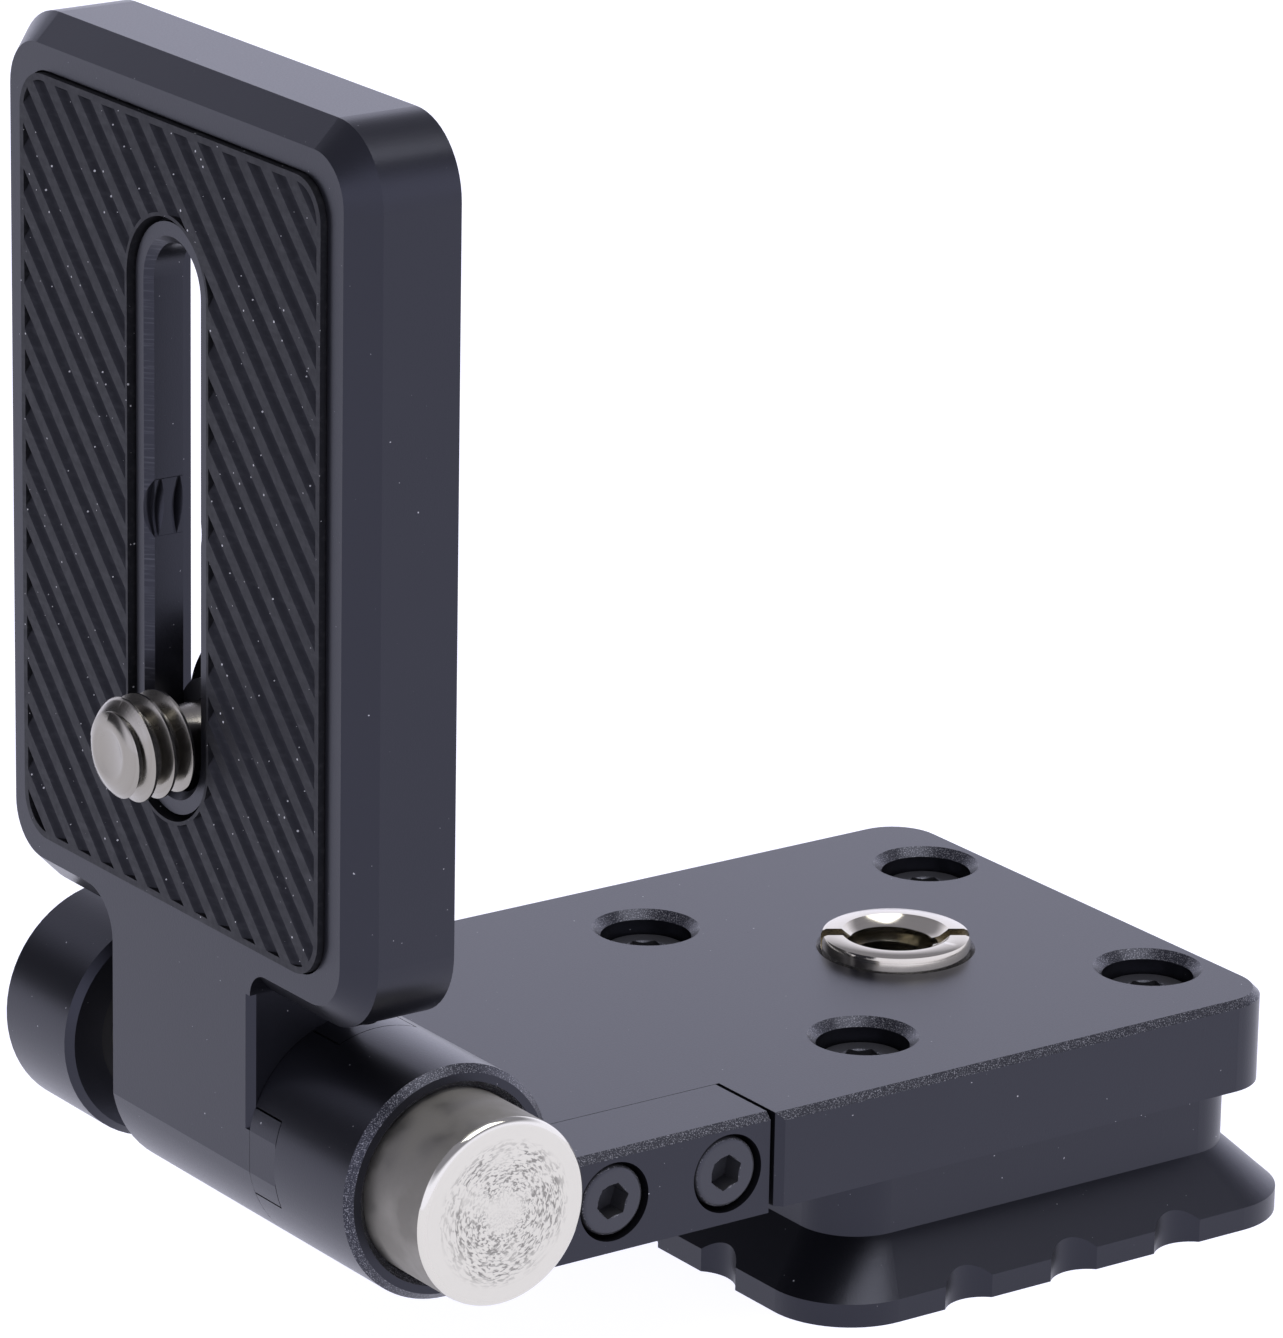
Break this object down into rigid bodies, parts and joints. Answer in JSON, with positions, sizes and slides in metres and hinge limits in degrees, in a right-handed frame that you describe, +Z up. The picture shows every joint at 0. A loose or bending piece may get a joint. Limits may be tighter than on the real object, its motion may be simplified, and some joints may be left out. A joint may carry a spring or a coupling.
{
  "type": "folding camera bracket",
  "caption": "L-shaped folding bracket: a slotted camera plate on a push-button hinge stands over a bed plate with a square dovetail foot.",
  "frame": {"origin": "middle of the dovetail foot's flat bottom face", "axes": "+Z up out of the foot, +X along the bed away from the hinge, push button on the -Y side"},
  "size_m": [0.0768, 0.044, 0.0794],
  "materials": {
    "body_anodised": "fine bead-blasted black anodising",
    "foot_anodised": "fine bead-blasted black anodising",
    "nickel_steel": "bright nickel plate",
    "turned_steel": "turned and polished stainless steel",
    "spring_steel": "oiled spring steel",
    "pad_rubber": "matt ribbed rubber",
    "black_nylon": "satin nylon",
    "black_screws": "black oxide"
  },
  "bodies": {
    "base": {"bed_plate": "body_anodised", "foot_plate": "foot_anodised", "hinge_block": "body_anodised", "adapter_bushing": "nickel_steel", "spring_plug": "body_anodised", "far_knuckle_bush": "black_nylon", "arm_screw_inner": "black_screws", "arm_screw_outer": "black_screws", "foot_screw_1": "black_screws", "foot_screw_2": "black_screws", "foot_screw_3": "black_screws", "foot_screw_4": "black_screws"},
    "lock_pin": {"push_pin": "turned_steel", "dog_ring": "body_anodised", "dog_ring_dowel": "turned_steel", "thrust_washer": "black_nylon", "retaining_clip": "spring_steel", "return_spring": "spring_steel"},
    "upright": {"upright_plate": "body_anodised", "rubber_pad": "pad_rubber", "tongue_bush_near": "black_nylon", "tongue_bush_far": "black_nylon"},
    "screw_slider": {"screw_collar": "black_nylon"},
    "camera_screw": {"camera_screw": "nickel_steel"}
  },
  "joints": [
    {"name": "button_press", "type": "slide", "parent": "base", "child": "lock_pin", "axis": [0, 1, 0], "range_m": [0, 0.0032], "stiffness_N_per_m": 1500, "springref_m": -0.003, "deforming": ["return_spring"]},
    {"name": "upright_fold", "type": "hinge", "parent": "lock_pin", "child": "upright", "pos_m": [-0.0463, 0, 0.01605], "axis": [0, 1, 0], "range_deg": [0, 90]},
    {"name": "screw_slide", "type": "slide", "parent": "upright", "child": "screw_slider", "axis": [0, 0, 1], "range_m": [0, 0.0265]},
    {"name": "screw_turn", "type": "hinge", "parent": "screw_slider", "child": "camera_screw", "pos_m": [-0.0534, 0, 0.03905], "axis": [-1, 0, 0], "continuous": true}
  ]
}
